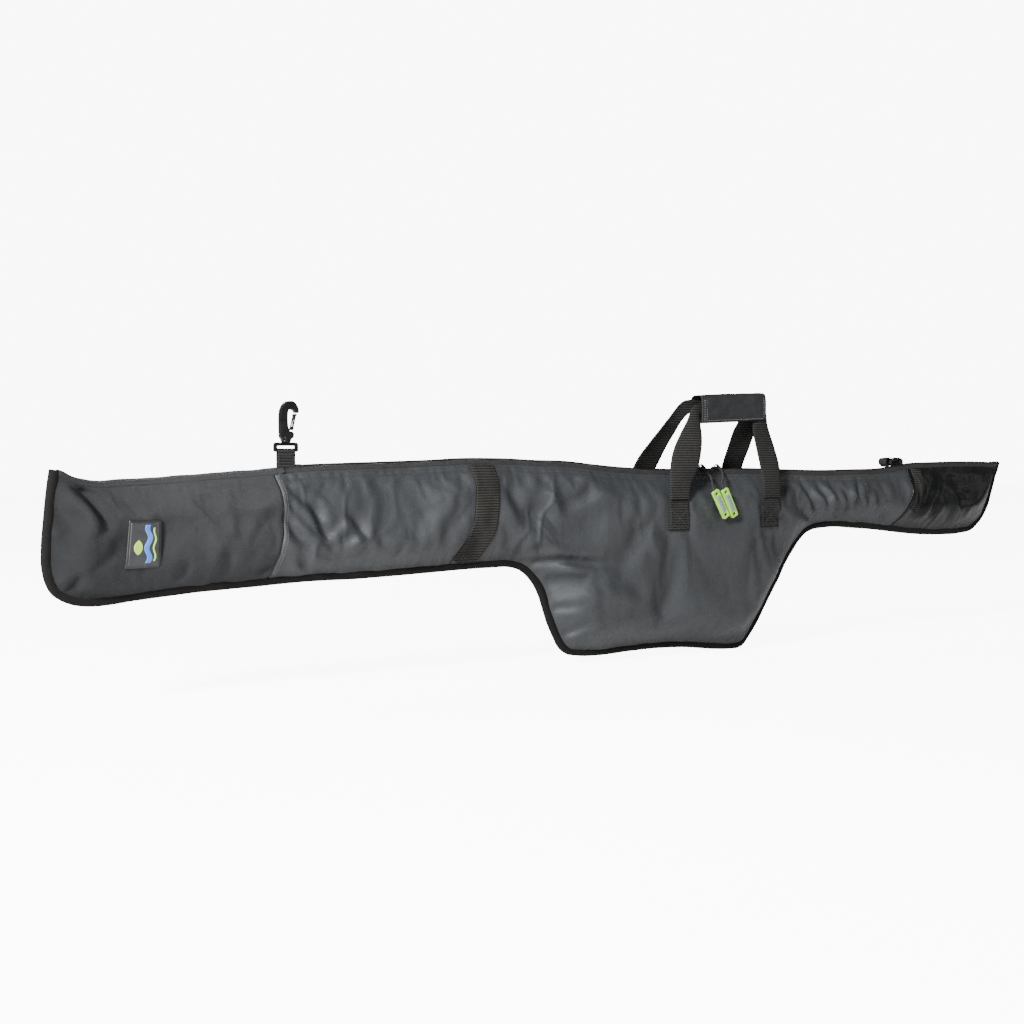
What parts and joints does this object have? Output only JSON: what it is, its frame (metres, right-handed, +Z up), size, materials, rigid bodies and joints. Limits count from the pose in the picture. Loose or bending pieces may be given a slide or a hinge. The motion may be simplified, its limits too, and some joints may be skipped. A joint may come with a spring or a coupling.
{
  "type": "fishing rod case",
  "caption": "Long padded rod sleeve with a reel pouch, full-length two-way zip, webbing carry handles with a wrap grip and a snap hook.",
  "frame": {"origin": "centre of the bounding box in X and Y, at the lowest point of the pouch", "axes": "+X towards the butt end, +Z up with the zip along the top, the front with the patch and pull tags faces -Y"},
  "size_m": [1.9889, 0.1076, 0.4535],
  "materials": {
    "tip_fabric": "coarse ripstop weave, matte",
    "main_fabric": "fine nylon weave with a satin sheen",
    "gloss_fabric": "coated glossy cloth",
    "foam": "closed-cell foam",
    "lining": "thin woven lining",
    "binding": "folded binding tape",
    "zip": "black zip tape, coil and cord",
    "metal": "dark painted metal",
    "webbing": "ribbed webbing",
    "patch": "moulded rubber",
    "lime_rubber": "moulded lime rubber"
  },
  "bodies": {
    "case": {"tip_cover_front": "tip_fabric", "tip_cover_back": "tip_fabric", "tip_top_fold": "tip_fabric", "main_cover_front": "main_fabric", "main_cover_back_lower": "main_fabric", "butt_cover_front": "gloss_fabric", "butt_cover_back_lower": "gloss_fabric", "padding_front": "foam", "padding_back_lower": "foam", "lining_front": "lining", "lining_back_lower": "lining", "edge_binding": "binding", "zip_tape_front": "zip", "zip_coil_front": "zip", "zip_stop_tip": "metal", "zip_stop_butt": "metal", "belly_band_front": "webbing", "belly_band_back_lower": "webbing", "butt_band_front": "webbing", "handle_anchor_front_left": "webbing", "handle_anchor_front_right": "webbing", "hook_tab": "webbing", "label_patch": "patch"},
    "back_flap": {"main_cover_back_flap": "main_fabric", "butt_cover_back_flap": "gloss_fabric", "padding_back_flap": "foam", "lining_back_flap": "lining", "zip_tape_back": "zip", "zip_coil_back": "zip", "belly_band_back_flap": "webbing", "handle_anchor_back_left": "webbing", "handle_anchor_back_right": "webbing", "hang_tab": "webbing"},
    "slider_left": {"slider_left_body": "metal"},
    "slider_right": {"slider_right_body": "metal"},
    "pull_left": {"pull_cord_left": "zip", "pull_tag_left": "lime_rubber"},
    "pull_right": {"pull_cord_right": "zip", "pull_tag_right": "lime_rubber"},
    "front_handle": {"handle_strap_front": "webbing"},
    "back_handle": {"handle_strap_back": "webbing", "grip_wrap_base": "webbing"},
    "grip_flap": {"grip_wrap_flap": "main_fabric"},
    "hook_ring": {"hook_ring": "metal"},
    "hook_swivel": {"hook_body": "metal"},
    "hook_gate": {"hook_gate": "metal"}
  },
  "joints": [
    {"name": "mouth_open", "type": "hinge", "parent": "case", "child": "back_flap", "pos_m": [0.161, 0.053, 0.228], "axis": [-1, 0, 0], "range_deg": [0, 45], "deforming": ["handle_strap_front", "grip_wrap_flap"]},
    {"name": "slider_left_run", "type": "slide", "parent": "case", "child": "slider_left", "axis": [-1, 0, 0.0054], "range_m": [0, 0.774]},
    {"name": "slider_right_run", "type": "slide", "parent": "case", "child": "slider_right", "axis": [0.9999, 0, 0.0105], "range_m": [0, 0.732]},
    {"name": "pull_left_lift", "type": "hinge", "parent": "slider_left", "child": "pull_left", "pos_m": [0.179, -0.0042, 0.32113], "axis": [-1, 0, 0], "range_deg": [0, 100]},
    {"name": "pull_right_lift", "type": "hinge", "parent": "slider_right", "child": "pull_right", "pos_m": [0.215, -0.0042, 0.32113], "axis": [-1, 0, 0], "range_deg": [0, 100]},
    {"name": "front_handle_swing", "type": "hinge", "parent": "case", "child": "front_handle", "pos_m": [0.201, -0.0485, 0.2685], "axis": [1, 0, 0], "range_deg": [0, 165]},
    {"name": "back_handle_swing", "type": "hinge", "parent": "back_flap", "child": "back_handle", "pos_m": [0.201, 0.0545, 0.2745], "axis": [-1, 0, 0], "range_deg": [0, 150]},
    {"name": "grip_flap_open", "type": "hinge", "parent": "back_handle", "child": "grip_flap", "pos_m": [0.247, -0.0002, 0.4526], "axis": [-1, 0, 0], "range_deg": [0, 150]},
    {"name": "hook_ring_tilt", "type": "hinge", "parent": "case", "child": "hook_ring", "pos_m": [-0.632, 0.003, 0.35097], "axis": [1, 0, 0], "range_deg": [-60, 60]},
    {"name": "hook_swivel_turn", "type": "hinge", "parent": "hook_ring", "child": "hook_swivel", "pos_m": [-0.632, 0.003, 0.36387], "axis": [0, 0, 1], "continuous": true},
    {"name": "hook_gate_open", "type": "hinge", "parent": "hook_swivel", "child": "hook_gate", "pos_m": [-0.6232, 0.003, 0.38187], "axis": [0, -1, 0], "range_deg": [0, 20], "stiffness_Nm_per_rad": 0.02}
  ],
  "couplings": [
    {"joint": "slider_left_run", "follows": "mouth_open", "m_per_rad": 0.98421},
    {"joint": "slider_right_run", "follows": "mouth_open", "m_per_rad": 0.93074}
  ]
}
